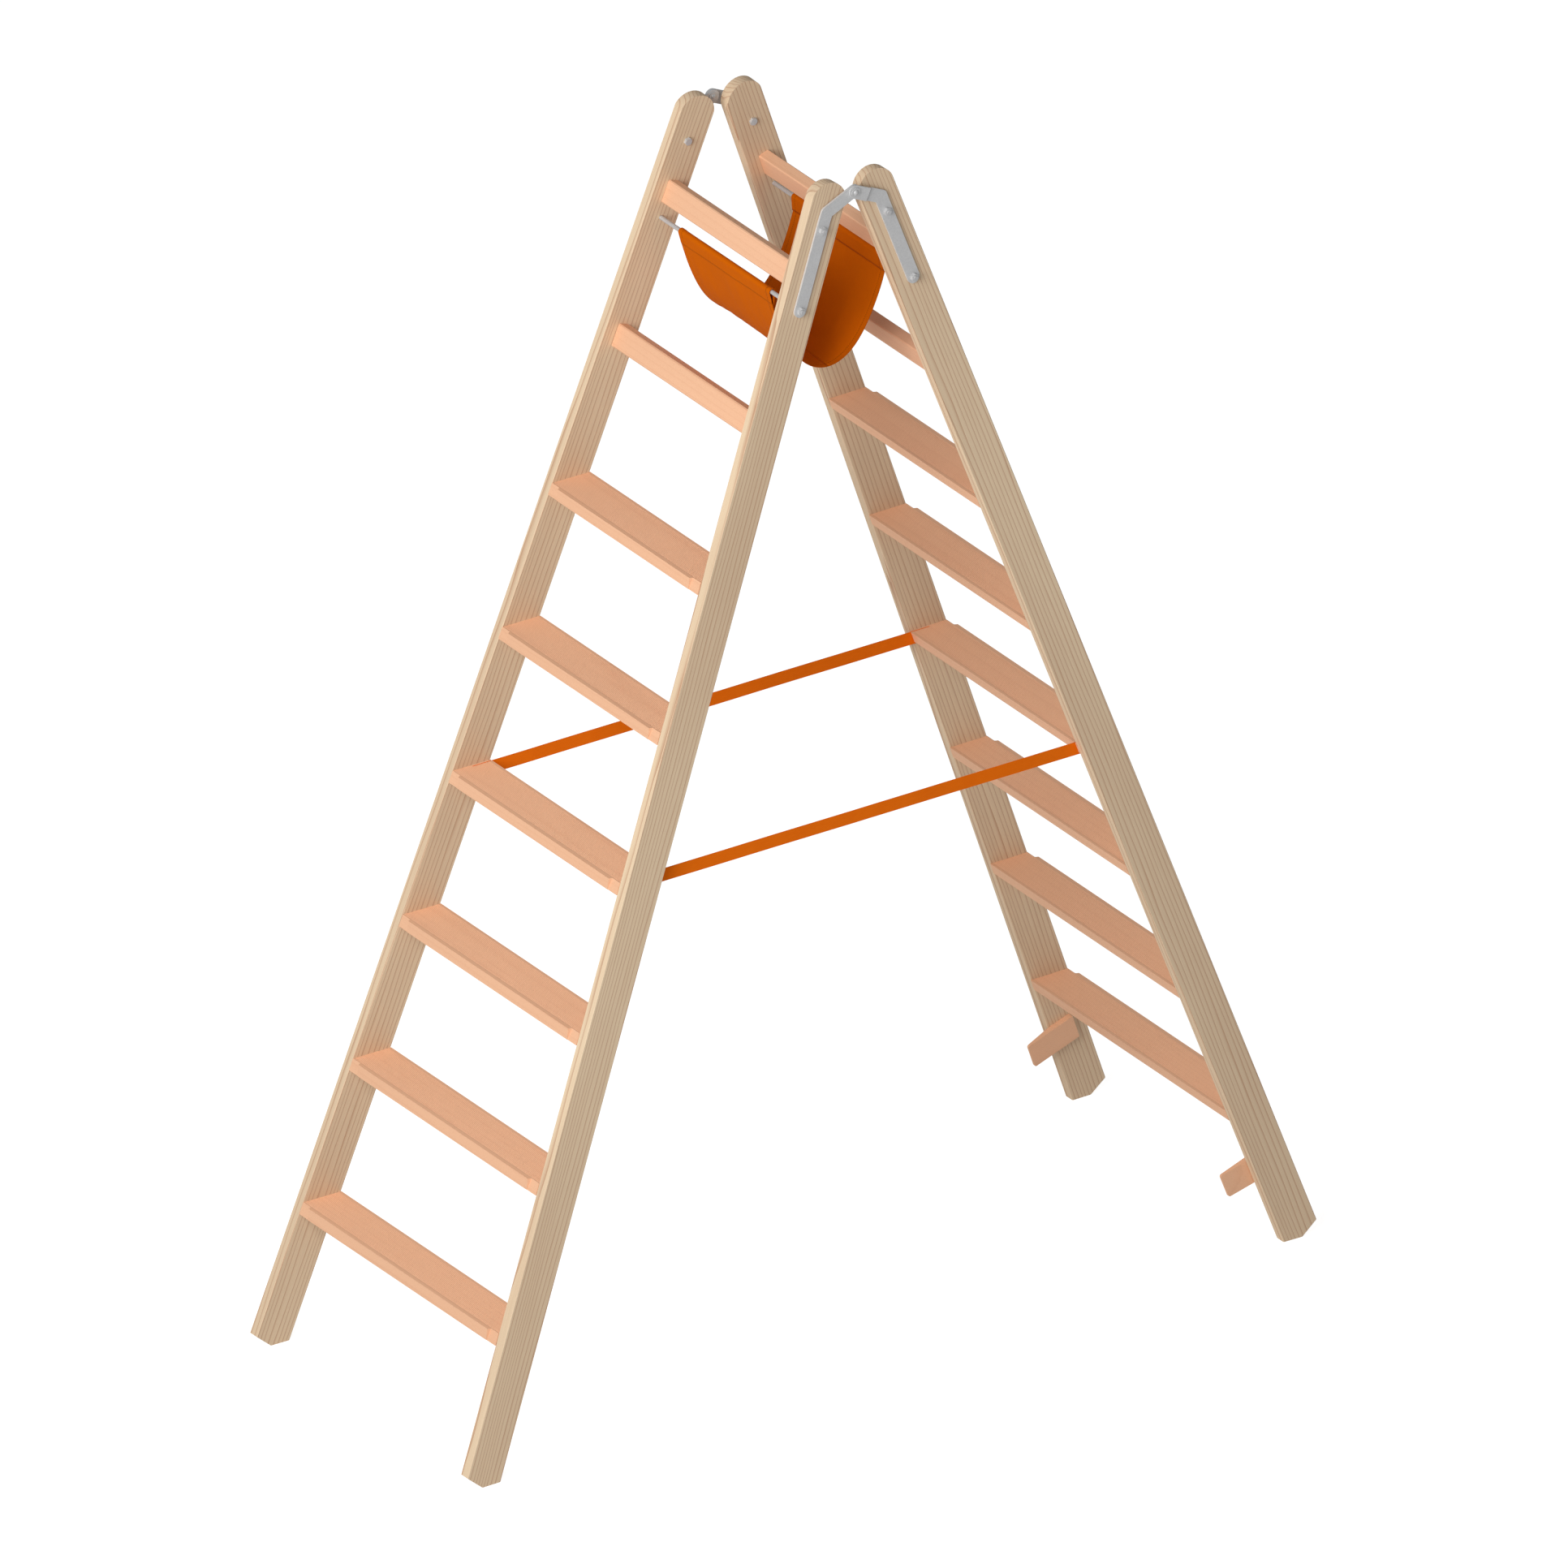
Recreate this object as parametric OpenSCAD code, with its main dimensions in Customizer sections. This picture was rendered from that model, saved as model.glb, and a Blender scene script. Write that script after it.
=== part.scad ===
// Double-sided folding timber step ladder, standing open on the floor.
// Z is up, X runs along the treads, Y is the spread. The floor is Z = 0.
// The front frame stands at -Y, the rear frame is its mirror image at +Y.

/* [Frames] */
// slope of each frame from the upright, degrees
lean = 20; // [14:0.5:24]
// each stile's own slope towards its partner, degrees
flare = 3; // [1:0.25:4]
// length of the stiles above the upper rung
stile_above_rung = 187.2; // [150:0.1:260]
// stile depth, square to its edges
stile_depth = 75; // [60:1:95]
// stile thickness
stile_thickness = 22; // [18:0.5:32]
// width over both stiles at the floor
base_width = 686; // [560:2:820]
// chamfer on the long edges of the stiles
stile_arris = 1.5; // [0.5:0.25:4]
// foot bevel, horizontal run
foot_bevel_run = 31; // [15:1:40]
// foot bevel, rise
foot_bevel_rise = 26; // [12:1:40]

/* [Treads and rungs] */
// height of the lowest tread's top over the floor
first_tread_height = 272.5; // [220:0.5:320]
// tread spacing along the stiles
tread_pitch = 280; // [220:1:340]
// tread thickness
tread_thickness = 21.5; // [16:0.5:28]
// how far the nose stands out at the tread's top edge
nose_top = 6.3; // [3:0.1:14]
// how far the nose stands out at the tread's bottom edge, past the stile's leaning edge
nose_bottom = 0.7; // [0.2:0.1:8]
// distance from stile to where the nose starts
nose_start = 21; // [12:1:60]
// length of the nose's run-in
nose_blend = 8; // [4:1:30]
// spacing of the grip grooves
groove_pitch = 3; // [2:0.25:6]
// width of a grip groove
groove_width = 2.2; // [0.6:0.1:2.8]
// depth of a grip groove
groove_depth = 0.9; // [0.3:0.1:2]
// plain margin behind the nose
groove_front_margin = 2.4; // [1:0.1:12]
// plain margin at the tread's inner edge
groove_back_margin = 4.5; // [2:0.5:12]
// rung size along the stile
rung_height = 44; // [30:1:60]
// rung size through the stile's depth
rung_depth = 22; // [18:1:34]
// chamfer on the rung's edges
rung_arris = 2; // [0.5:0.25:5]
// length of the hidden tenons
tenon_length = 14; // [8:0.5:17]
// thickness of the hidden tenons
tenon_thickness = 10; // [8:0.5:12]
// clearance round a tenon
joint_gap = 0.2; // [0.1:0.05:0.5]
// how far the rungs sit below the tread spacing
rung_drop = 3.5; // [0:0.1:10]

/* [Hinge] */
// pivot axis below the stile top, along the stile
pivot_below_top = 10; // [4:1:30]
// pivot axis beyond the stile's inner edge
pivot_gap = 7.3; // [5:0.1:20]
// upper bolt below the stile top
upper_bolt_below_top = 88; // [70:1:120]
// spacing of the two bolts on the hinge plate
bolt_spacing = 150; // [110:1:200]
// bend of the hinge plate above the upper bolt
bend_above_bolt = 33.5; // [26:0.5:50]
// width of the hinge plate
plate_width = 25; // [20:0.5:32]
// thickness of the hinge plate
plate_thickness = 4; // [3:0.25:6]
// gap between the two plates at the pivot
plate_gap = 0.5; // [0.35:0.05:1]
// distance from pivot to the rear plate's joggle
joggle_distance = 33; // [26:1:45]
// radius of the pivot rivet
rivet_radius = 5; // [4:0.25:7]
// radial clearance of the rivet in the front plate
rivet_gap = 0.02; // [0.01:0.01:0.1]
// radial running clearance of the rear plate on the rivet
running_gap = 0.08; // [0.03:0.01:0.1]
// radius of the bolts
bolt_radius = 4; // [3:0.25:6]
// radial clearance round the bolts and tie rods
bolt_gap = 0.2; // [0.1:0.05:0.5]
// width across flats of the bolt heads and nuts
across_flats = 13; // [10:0.5:17]
// height of the hexagon nuts
nut_height = 6.5; // [4:0.1:10]
// height of the hexagon bolt heads
head_height = 5.3; // [3:0.1:8]
// how far a threaded end stands out of its nut
thread_end = 2.5; // [1:0.1:6]
// clearance between nut and thread
thread_gap = 0.05; // [0.03:0.01:0.15]
// radius of the rivets' flanges
flange_radius = 9; // [8:0.25:12]
// thickness of the rivets' flanges
flange_thickness = 1.4; // [1:0.1:3]
// height of the rivets' domes over the flanges
dome_height = 2.8; // [1.5:0.1:4]
// radius of the tie rods
rod_radius = 4; // [3:0.25:6]

/* [Tool bag] */
// distance from the bag's edge to the stile, along the tie rod
bag_side_gap = 63.6; // [5:0.1:90]
// depth of the bag below the tie rods
bag_depth = 180; // [120:1:260]
// thickness of the bag cloth
cloth_thickness = 2; // [1:0.25:3]
// clearance between sleeve and tie rod
sleeve_gap = 0.5; // [0.35:0.05:1.5]
// half of the gap where the two bag panels and the strap halves meet
meeting_gap = 0.2; // [0.16:0.02:0.5]

/* [Spread straps] */
// strap width
strap_width = 25; // [20:1:40]
// strap thickness
strap_thickness = 1.6; // [1:0.1:3]
// length of strap held in the kerf of the tread
strap_let_in = 32; // [22:1:50]
// distance of the strap from the stile
strap_inset = 2.6; // [2:0.1:8]
// clearance between strap and kerf, each side
kerf_gap = 0.4; // [0.35:0.05:1]
// radius of the strap pins
strap_pin_radius = 1.5; // [1:0.25:3]
// radial clearance of a strap pin in its tread
pin_gap = 0.1; // [0.05:0.05:0.3]
// clearance past the ends of a strap pin
pin_end_gap = 0.5; // [0.2:0.1:1]
// radial clearance of the strap round its pin
pin_eye_gap = 0.5; // [0.35:0.05:1]
// distance of a strap pin from the tread's inner edge
strap_pin_inset = 14; // [8:1:30]

/* [Guide blocks] */
// length of a guide block across the stile
block_length = 100; // [80:1:110]
// how far a guide block stands out beyond the stile's inner edge
block_reach = 52; // [40:1:60]
// height of a guide block along the stile
block_height = 48; // [36:1:60]
// thickness of a guide block
block_thickness = 12; // [9:0.5:18]
// thickness left at the free end of a guide block
block_tip = 5; // [3:0.5:8]
// lower edge of a guide block above the foot, along the stile
block_above_foot = 127; // [100:1:170]
// radius of a guide block's corners at the free end
block_corner = 4; // [1:0.5:10]
// distance of the dowels from a guide block's upper and lower edge
dowel_inset = 12; // [8:1:16]
// distance of the first dowel from the stile's inner edge
dowel_edge = 14; // [8:1:18]
// spacing of the dowels across the stile
dowel_spacing = 20; // [12:1:24]
// how deep the dowels enter the stile
dowel_bite = 12; // [8:0.5:16]
// how deep the dowels enter the guide block
dowel_seat = 7; // [5:0.5:8]
// radius of the dowels
dowel_radius = 4; // [3:0.25:5]
// radial clearance round the dowels
dowel_gap = 0.1; // [0.05:0.05:0.3]
// clearance past the end of a dowel in the stile
dowel_end_gap = 0.5; // [0.2:0.1:1]

/* [Hidden] */
part_faces = 48;
sn = sin(lean);
cs = cos(lean);
tn = tan(lean);
horizontal_depth = stile_depth / cs;
mid_n = stile_depth / 2;
tread_rise = tread_pitch * cs;
upper_rung_s = ((first_tread_height + 5 * tread_rise) - mid_n * sn) / cs + 2 * tread_pitch - rung_drop;
stile_length = upper_rung_s + stile_above_rung;
pivot_s = stile_length - pivot_below_top;
foot_y = pivot_s * sn + pivot_gap * cs;
pivot_z = pivot_s * cs - pivot_gap * sn;
half_base = base_width / 2;
upper_bolt_s = stile_length - upper_bolt_below_top;
lower_bolt_s = upper_bolt_s - bolt_spacing;
bend_s = upper_bolt_s + bend_above_bolt;
strap_tread = 4;
plate_r = plate_width / 2;
round_r = stile_depth / 2;
far = 3000;

// positions on the front frame: s along the slope, n out from the inner edge
function along_y(s, n) = -foot_y + s * sn - n * cs;
function along_z(s, n) = s * cs + n * sn;
// inner and outer edge of the front frame at height z
function inner_y(z) = -foot_y + z * tn;
function outer_y(z) = inner_y(z) - horizontal_depth;
// half width over the stiles and between them at s
function outer_x(s) = half_base - s * tan(flare);
function inner_x(s) = outer_x(s) - stile_thickness / cos(flare);
function tread_top(k) = first_tread_height + (k - 1) * tread_rise;
function rung_s(k) = (tread_top(6) - mid_n * sn) / cs + k * tread_pitch - rung_drop;

rod_y = along_y(lower_bolt_s, mid_n);
rod_z = along_z(lower_bolt_s, mid_n);
bend_y = along_y(bend_s, mid_n);
bend_z = along_z(bend_s, mid_n);
fold_s = bend_s - plate_r - 3;
arm_x = outer_x(fold_s);
strap_top = tread_top(strap_tread) - 0.3;
strap_mid = strap_top - strap_width / 2;
strap_end_y = inner_y(tread_top(strap_tread) - tread_thickness);
strap_x = inner_x((tread_top(strap_tread)) / cs) - strap_inset - strap_thickness / 2;
bag_edge = inner_x(lower_bolt_s) - bag_side_gap;
sleeve_radius = rod_radius + sleeve_gap + cloth_thickness / 2;
bag_span = sleeve_radius - rod_y;

// ---- frames of reference ----

// front frame: local Z runs up the slope, local -Y points out of the climbing side
module in_front() translate([0, -foot_y, 0]) rotate([-lean, 0, 0]) children();

// right front stile: local X = 0 is its outer face, local Z runs up the stile
module on_right_face() in_front() translate([half_base, 0, 0]) rotate([0, -flare, 0]) children();

module to_rear() mirror([0, 1, 0]) children();
module to_left() mirror([1, 0, 0]) children();
module both_sides() { children(); to_left() children(); }

// turns a drawing in (Y, Z) into a bar of the given length, centred on X = 0
module bar_along_x(length) rotate([90, 0, 90]) linear_extrude(length, center = true) children();

// a pin along X from x0 to x1 at (y, z)
module pin_x(r, x0, x1, y, z)
    translate([x0, y, z]) rotate([0, 90, 0]) cylinder(r = r, h = x1 - x0, $fn = part_faces);

// domed head standing on the plane X = 0, rising along +X, turned from its outline
module dome(r, h) {
    big = (r * r + h * h) / (2 * h);
    half_arc = asin(r / big);
    steps = 6;
    rotate([0, 90, 0]) rotate_extrude($fn = part_faces)
        polygon(concat([[0, 0]],
            [for (i = [steps:-1:0]) [big * sin(half_arc * i / steps), big * cos(half_arc * i / steps) + h - big]]));
}

// hexagon head or nut standing on the plane X = 0, rising along +X, its corners eased
module hexagon(h) {
    corner = across_flats / 2 / cos(30);
    ease = (corner - across_flats / 2) * 0.55;
    intersection() {
        rotate([0, 90, 0]) cylinder(r = corner, h = h, $fn = 6);
        rotate([0, 90, 0]) rotate_extrude($fn = part_faces) polygon([
            [0, 0], [corner + 0.5, 0], [corner + 0.5, h - ease * 1.2], [across_flats / 2 - 0.3, h], [0, h]]);
    }
}

// everything between the inner faces of the two stiles of the front frame
module between_stiles()
    in_front() rotate([90, 0, 0]) linear_extrude(600, center = true)
        polygon([[-inner_x(0), 0], [inner_x(0), 0],
                 [inner_x(stile_length), stile_length], [-inner_x(stile_length), stile_length]]);

// ---- stile ----

module stile_blank()
    on_right_face() intersection() {
        // chamfered section, run long at both ends
        translate([-stile_thickness, -stile_depth, -60]) linear_extrude(stile_length / cos(flare) + 120)
            polygon([[stile_arris, 0], [stile_thickness - stile_arris, 0],
                     [stile_thickness, stile_arris], [stile_thickness, stile_depth - stile_arris],
                     [stile_thickness - stile_arris, stile_depth], [stile_arris, stile_depth],
                     [0, stile_depth - stile_arris], [0, stile_arris]]);
        // side outline with its round top
        union() {
            translate([-stile_thickness - 5, -stile_depth - 5, -60])
                cube([stile_thickness + 10, stile_depth + 10, stile_length / cos(flare) - round_r + 60]);
            translate([-stile_thickness - 5, -mid_n, stile_length / cos(flare) - round_r])
                rotate([0, 90, 0]) cylinder(r = round_r, h = stile_thickness + 10, $fn = 96);
        }
    }

// floor cut and toe bevel, square to the world
module foot_cut() {
    translate([0, -foot_y - 60, -100]) cube([2000, 400, 200], center = true);
    bar_along_x(2000) polygon([
        [outer_y(0) - 60, -1], [outer_y(foot_bevel_rise) + foot_bevel_run, -1],
        [outer_y(foot_bevel_rise) + foot_bevel_run, 0],
        [outer_y(foot_bevel_rise), foot_bevel_rise],
        [outer_y(foot_bevel_rise) - 60, foot_bevel_rise + 60 * foot_bevel_rise / foot_bevel_run],
        [outer_y(0) - 60, 0]]);
}

module stile_front_right()
    difference() {
        stile_blank();
        foot_cut();
        for (k = [1:6]) tread_tenons(k, joint_gap, 1);
        for (k = [1:2]) rung_tenons(k, joint_gap, 1);
        upper_bolt_hole();
        pin_x(rod_radius + bolt_gap, 0, 900, rod_y, rod_z);
    }

module stile_color() color([0.86, 0.72, 0.52]) children();
module front_left_stile() stile_color() to_left() stile_front_right();
module front_right_stile() stile_color() stile_front_right();
module rear_right_stile() stile_color() to_rear() difference() {
    stile_front_right();
    dowel_holes();
}
module rear_left_stile() to_left() rear_right_stile();

// ---- treads ----

// tenons of tread k, reaching into both stiles
module tread_tenons(k, gap, extra) {
    z = tread_top(k) - tread_thickness / 2;
    y = (inner_y(z) + outer_y(z)) / 2;
    w = inner_x(z / cs + 4) + tenon_length + extra;
    d = stile_depth * 0.6 + 2 * gap;
    h = tenon_thickness + 2 * gap;
    translate([-w, y - d / 2, z - h / 2]) cube([2 * w, d, h]);
}

// plan outline of the nose between the stiles, y measured out from the plain edge
module nose_plan(w, out) {
    steps = 10;
    x0 = w - nose_start;
    x1 = x0 - nose_blend;
    polygon(concat([[-x0, -30], [x0, -30]],
        [for (i = [0:steps]) [x0 - nose_blend * i / steps, out * (1 - cos(180 * i / steps)) / 2]],
        [for (i = [steps:-1:0]) [-x0 + nose_blend * i / steps, out * (1 - cos(180 * i / steps)) / 2]]));
}

module tread(k) {
    zt = tread_top(k);
    zb = zt - tread_thickness;
    w = inner_x(zt / cs);
    y0 = outer_y(zt);
    reach = y0 - outer_y(zb) + nose_bottom + nose_top;
    room = horizontal_depth - groove_front_margin - groove_back_margin - groove_width;
    grooves = floor(room / groove_pitch) + 1;
    start = y0 + groove_front_margin + groove_width / 2;
    difference() {
        union() {
            intersection() {
                bar_along_x(2 * half_base) polygon([
                    [y0, zt], [inner_y(zt), zt], [inner_y(zb), zb], [outer_y(zb), zb]]);
                between_stiles();
            }
            intersection() {
                translate([0, y0, zb]) mirror([0, 1, 0]) linear_extrude(tread_thickness) nose_plan(w, reach);
                bar_along_x(2 * half_base) polygon([
                    [y0 - nose_top, zt], [y0 + 20, zt], [y0 + 20, zb], [outer_y(zb) - nose_bottom, zb]]);
            }
            tread_tenons(k, 0, 0);
        }
        // grip grooves, cut as a vee
        for (i = [0:grooves - 1])
            translate([0, start + i * groove_pitch, zt])
                bar_along_x(2 * half_base) polygon([
                    [-groove_width, groove_depth], [0, -groove_depth], [groove_width, groove_depth]]);
    }
}

// the fourth tread also carries the kerfs and pins of the spread straps
module tread_with_kerfs(k)
    difference() {
        tread(k);
        both_sides() strap_box(kerf_gap, strap_let_in + 0.5, 40);
        both_sides() strap_pin(pin_gap, pin_end_gap);
    }

module beech() color([0.85, 0.6, 0.43]) children();
module front_tread_1() beech() tread(1);
module front_tread_2() beech() tread(2);
module front_tread_3() beech() tread(3);
module front_tread_4() beech() tread_with_kerfs(4);
module front_tread_5() beech() tread(5);
module front_tread_6() beech() tread(6);
module rear_tread_1() to_rear() front_tread_1();
module rear_tread_2() to_rear() front_tread_2();
module rear_tread_3() to_rear() front_tread_3();
module rear_tread_4() to_rear() front_tread_4();
module rear_tread_5() to_rear() front_tread_5();
module rear_tread_6() to_rear() front_tread_6();

// ---- rungs ----

module rung_tenons(k, gap, extra) {
    w = inner_x(rung_s(k)) + tenon_length + extra;
    h = rung_height * 0.68 + 2 * gap;
    d = tenon_thickness + 2 * gap;
    in_front() translate([-w, -mid_n - d / 2, rung_s(k) - h / 2]) cube([2 * w, d, h]);
}

module rung(k) {
    a = rung_arris;
    union() {
        intersection() {
            in_front() translate([0, -mid_n - rung_depth / 2, rung_s(k) - rung_height / 2])
                bar_along_x(2 * half_base) polygon([
                    [a, 0], [rung_depth - a, 0], [rung_depth, a], [rung_depth, rung_height - a],
                    [rung_depth - a, rung_height], [a, rung_height], [0, rung_height - a], [0, a]]);
            between_stiles();
        }
        rung_tenons(k, 0, 0);
    }
}

module front_lower_rung() beech() rung(1);
module front_upper_rung() beech() rung(2);
module rear_lower_rung() to_rear() front_lower_rung();
module rear_upper_rung() to_rear() front_upper_rung();

// ---- hinge ----

// the space outside the right front stile's outer face, from distance x on
module outside(x) on_right_face() translate([x, -200, lower_bolt_s - 200]) cube([200, 400, 400]);

// hole or shank of the upper bolt, square to the stile
module upper_bolt_hole()
    on_right_face() pin_x(bolt_radius + bolt_gap, -60, 60, -mid_n, upper_bolt_s / cos(flare));

// strip with round ends in the (Y, Z) drawing plane
module strip(y0, z0, y1, z1, r) {
    len = norm([y1 - y0, z1 - z0]);
    translate([y0, z0]) rotate(atan2(z1 - z0, y1 - y0)) {
        translate([0, -r]) square([len, 2 * r]);
        circle(r, $fn = 64);
        translate([len, 0]) circle(r, $fn = 64);
    }
}

// outline of leg and arm in (Y, Z), carried along X through both plates
module plate_outline()
    translate([arm_x - 20, 0, 0]) rotate([90, 0, 90]) linear_extrude(60) {
        strip(rod_y, rod_z, bend_y, bend_z, plate_r);
        strip(bend_y, bend_z, 0, pivot_z, plate_r);
    }

// flat bar lying on the stile's face, bent upright below the bend so that the arm is square to the pivot
module bent_bar(top)
    in_front() rotate([90, 0, 0]) linear_extrude(400, center = true) polygon([
        [outer_x(lower_bolt_s - 30), lower_bolt_s - 30], [arm_x, fold_s],
        [arm_x, top], [arm_x + plate_thickness, top], [arm_x + plate_thickness, fold_s],
        [outer_x(lower_bolt_s - 30) + plate_thickness, lower_bolt_s - 30]]);

// lays a drawing of (X, distance from the bend towards the pivot) across the arm
module across_arm()
    translate([arm_x, bend_y, bend_z]) rotate([atan2(pivot_z - bend_z, -bend_y) - 90, 0, 0])
        rotate([90, 0, 0]) linear_extrude(8 * plate_r, center = true) children();

module plate_holes(pivot_hole) {
    upper_bolt_hole();
    pin_x(rod_radius + bolt_gap, 0, 900, rod_y, rod_z);
    pin_x(pivot_hole, 0, 900, 0, pivot_z);
}

module plate_front_right()
    difference() {
        intersection() {
            plate_outline();
            bent_bar(stile_length + 60);
        }
        plate_holes(rivet_radius + rivet_gap);
    }

// the rear plate's eye is cranked outwards to lie over the front plate's
module plate_rear_right() {
    step = plate_thickness + plate_gap;
    len = norm([bend_y, pivot_z - bend_z]);
    ramp = 3;
    lag = plate_thickness * tan(atan2(step, 2 * ramp) / 2);
    at = len - joggle_distance;
    difference() {
        intersection() {
            plate_outline();
            union() {
                difference() {
                    bent_bar(bend_s + 60);
                    across_arm() translate([-10, at - 8]) square([40, 90]);
                }
                across_arm() polygon([
                    [0, at - 8], [plate_thickness, at - 8],
                    [plate_thickness, at - ramp], [plate_thickness + step, at + ramp],
                    [plate_thickness + step, len + 2 * plate_r], [step, len + 2 * plate_r],
                    [step, at + ramp + lag], [0, at - ramp + lag]]);
            }
        }
        plate_holes(rivet_radius + running_gap);
    }
}

module zinc() color([0.72, 0.72, 0.73]) children();
module front_right_hinge_plate() zinc() plate_front_right();
module front_left_hinge_plate() to_left() front_right_hinge_plate();
module rear_right_hinge_plate() zinc() to_rear() plate_rear_right();
module rear_left_hinge_plate() to_left() rear_right_hinge_plate();

// bolt with its hexagon head on the stile's inner face
module hinge_bolt()
    on_right_face() translate([0, -mid_n, upper_bolt_s / cos(flare)]) {
        translate([-stile_thickness, 0, 0]) mirror([1, 0, 0]) hexagon(head_height);
        pin_x(bolt_radius, -stile_thickness - 1, plate_thickness + nut_height + thread_end, 0, 0);
    }

// hexagon nut on the hinge plate
module hinge_nut()
    on_right_face() translate([plate_thickness, -mid_n, upper_bolt_s / cos(flare)])
        difference() {
            hexagon(nut_height);
            pin_x(bolt_radius + thread_gap, -1, nut_height + 1, 0, 0);
        }

module front_hinge_bolts() zinc() both_sides() hinge_bolt();
module front_hinge_nuts() zinc() both_sides() hinge_nut();
module rear_hinge_bolts() to_rear() front_hinge_bolts();
module rear_hinge_nuts() to_rear() front_hinge_nuts();

// outer face of the hinge plate at the tie rod
rod_seat = outer_x(lower_bolt_s) + plate_thickness / cos(flare);
rod_half = rod_seat + nut_height + thread_end;

module front_tie_rod() zinc() pin_x(rod_radius, -rod_half, rod_half, rod_y, rod_z);

// hexagon nut on the end of the tie rod, its foot dressed to lie on the sloping hinge plate
module rod_nut()
    difference() {
        intersection() {
            translate([rod_seat - 2, rod_y, rod_z]) hexagon(nut_height + 2);
            outside(plate_thickness);
        }
        pin_x(rod_radius + thread_gap, 0, rod_half + 1, rod_y, rod_z);
    }

module front_tie_rod_nuts() zinc() both_sides() rod_nut();
module rear_tie_rod() to_rear() front_tie_rod();
module rear_tie_rod_nuts() to_rear() front_tie_rod_nuts();

// rivet through both eyes, one each side of the ladder, held in the front plate
module pivot_rivet() {
    x_out = arm_x + 2 * plate_thickness + plate_gap + 0.35;
    translate([x_out, 0, pivot_z]) {
        pin_x(flange_radius, 0, flange_thickness, 0, 0);
        translate([flange_thickness, 0, 0]) dome(rivet_radius, dome_height);
    }
    pin_x(rivet_radius, arm_x - 1, x_out + 0.5, 0, pivot_z);
    translate([arm_x, 0, pivot_z]) mirror([1, 0, 0]) {
        pin_x(flange_radius, 0, flange_thickness, 0, 0);
        translate([flange_thickness, 0, 0]) dome(rivet_radius, dome_height);
    }
}

module right_pivot_rivet() zinc() pivot_rivet();
module left_pivot_rivet() to_left() right_pivot_rivet();

// ---- tool bag ----

// cloth hangs in a catenary: its parameter is found by halving for the given half span and depth
function hang(c, y) = c * ((exp(y / c) + exp(-y / c)) / 2 - 1);
function slack(low, high, n) =
    let (c = (low + high) / 2)
    n == 0 ? c : hang(c, bag_span) > bag_depth ? slack(c, high, n - 1) : slack(low, c, n - 1);
bag_slack = slack(bag_span / 8, bag_span * 4, 40);
// slope of the cloth at a distance y from the middle plane, in degrees
function cloth_slope(y) = atan((exp(y / bag_slack) - exp(-y / bag_slack)) / 2);

// section of the front panel: sleeve, then the hanging curve down to the middle plane
module bag_section() {
    t = cloth_thickness;
    r_in = rod_radius + sleeve_gap;
    steps = 28;
    foot = rod_z - bag_depth;
    // points along the curve, closer together where it hangs steeply, up into the sleeve's wall
    ys = [for (i = [0:steps]) bag_span * sin(87 * i / steps)];
    function side(y, out) = [-y - out * sin(cloth_slope(y)), foot + hang(bag_slack, y) - out * cos(cloth_slope(y))];
    difference() {
        union() {
            translate([rod_y, rod_z]) circle(r_in + t, $fn = 48);
            polygon(concat([for (y = ys) side(y, t / 2)],
                           [for (i = [steps:-1:0]) side(ys[i], -t / 2)]));
        }
        translate([rod_y, rod_z]) circle(r_in, $fn = 48);
        translate([-meeting_gap, 0]) square([2 * bag_span, far]);
    }
}

module bag_cloth() color([0.75, 0.31, 0.02]) children();
module bag_front_panel() bag_cloth() bar_along_x(2 * bag_edge) bag_section();
module bag_rear_panel() to_rear() bag_front_panel();

// ---- spread straps ----

// straight run of the right strap's front half, let into tread 4 by the given length
module strap_box(gap, let_in, more)
    translate([strap_x - strap_thickness / 2 - gap, strap_end_y - let_in, strap_mid - strap_width / 2 - more])
        cube([strap_thickness + 2 * gap, let_in - strap_end_y - meeting_gap, strap_width + 2 * more]);

module strap_pin(gap, more)
    pin_x(strap_pin_radius + gap, strap_x - 12 - more, inner_x(strap_mid / cs + 8) - 0.6 + more,
          strap_end_y - strap_pin_inset, tread_top(strap_tread) - tread_thickness / 2);

module strap_half() color([0.86, 0.4, 0.05]) difference() {
    strap_box(0, strap_let_in, 0);
    strap_pin(pin_eye_gap, 5);
}

module right_strap_front_half() strap_half();
module left_strap_front_half() to_left() strap_half();
module right_strap_rear_half() to_rear() strap_half();
module left_strap_rear_half() to_left() to_rear() strap_half();
module front_strap_pins() zinc() both_sides() strap_pin(0, 0);
module rear_strap_pins() to_rear() front_strap_pins();

// ---- guide blocks ----

// block on the right stile's inner face, drawn for the front side and mirrored to the rear
module block() {
    back = block_reach - block_length;
    on_right_face() translate([-stile_thickness, 0, block_above_foot / cos(flare)])
        intersection() {
            linear_extrude(block_height) polygon([
                [0, back], [0, 2], [-(block_thickness - block_tip), block_reach],
                [-block_thickness, block_reach], [-block_thickness, back]]);
            bar_along_x(3 * block_thickness) {
                translate([back, 0]) square([block_length - block_corner, block_height]);
                translate([back, block_corner]) square([block_length, block_height - 2 * block_corner]);
                for (z = [block_corner, block_height - block_corner])
                    translate([block_reach - block_corner, z]) circle(block_corner, $fn = 32);
            }
        }
}

// places along X = 0, the face where the guide block lies on the stile
module at_dowels()
    on_right_face() translate([-stile_thickness, 0, block_above_foot / cos(flare)])
        for (p = [[dowel_edge, dowel_inset], [dowel_edge + dowel_spacing, block_height - dowel_inset]])
            translate([0, -p[0], p[1]]) children();

module dowel_holes()
    at_dowels() pin_x(dowel_radius + dowel_gap, -dowel_seat, dowel_bite + dowel_end_gap, 0, 0);

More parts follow.
